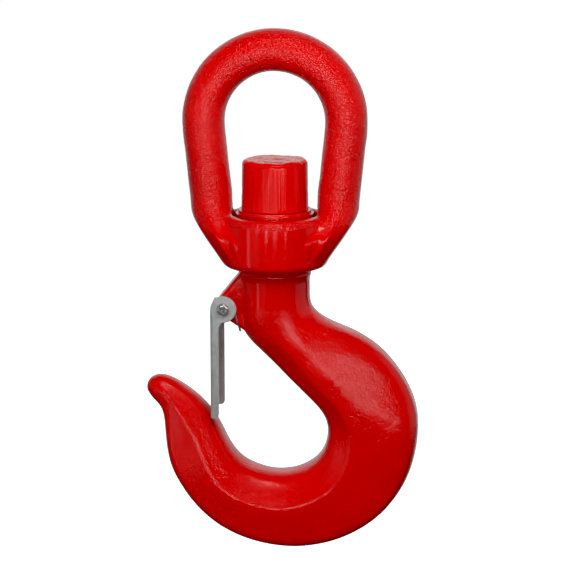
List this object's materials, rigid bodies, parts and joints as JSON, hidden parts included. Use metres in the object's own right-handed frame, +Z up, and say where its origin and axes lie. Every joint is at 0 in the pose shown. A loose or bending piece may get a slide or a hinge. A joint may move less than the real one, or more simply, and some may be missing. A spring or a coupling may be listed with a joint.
{
  "type": "swivel lifting hook",
  "caption": "Forged swivel hook: a rounded bail and collar carry a turning hook on a thrust bearing, with a sprung safety latch.",
  "frame": {"origin": "top of the bail's eye on the swivel axis, the point of the bow that bears on a crane hook or a shackle pin", "axes": "+Z up along the swivel axis, from the hook to the bail; +Y across the thin direction, away from the latch bolt's head; +X towards the hook's back, away from its tip"},
  "size_m": [0.1593, 0.062, 0.3033],
  "materials": {
    "red_enamel": "gloss red enamel over a forged surface",
    "zinc_plate": "zinc plated stamped sheet",
    "zinc_bolt": "bright zinc plated fastener",
    "spring_steel": "drawn spring wire",
    "bearing_steel": "ground bearing steel, lightly oiled",
    "ball_steel": "polished balls",
    "cage_steel": "pressed steel",
    "bushing_bronze": "turned bearing bronze",
    "nylon": "moulded nylon ring"
  },
  "bodies": {
    "bail": {"bail_forging": "red_enamel", "collar_bushing": "bushing_bronze", "bearing_housing_race": "bearing_steel"},
    "ball_cage": {"bearing_cage": "cage_steel", "bearing_balls": "ball_steel"},
    "hook": {"hook_forging": "red_enamel", "bearing_shaft_race": "red_enamel", "thrust_washer": "red_enamel", "swivel_nut": "red_enamel", "nut_lock_pin": "spring_steel", "latch_bolt": "zinc_bolt", "latch_lock_nut": "zinc_bolt", "lock_nut_insert": "nylon"},
    "latch": {"latch_plate": "zinc_plate", "latch_spring": "spring_steel"}
  },
  "joints": [
    {"name": "hook_swivel", "type": "hinge", "parent": "bail", "child": "hook", "pos_m": [0, 0, -0.0923], "axis": [0, 0, 1], "continuous": true},
    {"name": "cage_spin", "type": "hinge", "parent": "bail", "child": "ball_cage", "pos_m": [0, 0, -0.0868], "axis": [0, 0, 1], "continuous": true},
    {"name": "latch_pivot", "type": "hinge", "parent": "hook", "child": "latch", "pos_m": [-0.0285, 0, -0.1355], "axis": [0, -1, 0], "range_deg": [0, 45], "stiffness_Nm_per_rad": 0.12, "springref_deg": -68.75, "deforming": ["latch_spring"]}
  ],
  "couplings": [
    {"joint": "cage_spin", "follows": "hook_swivel", "ratio": 0.5}
  ]
}
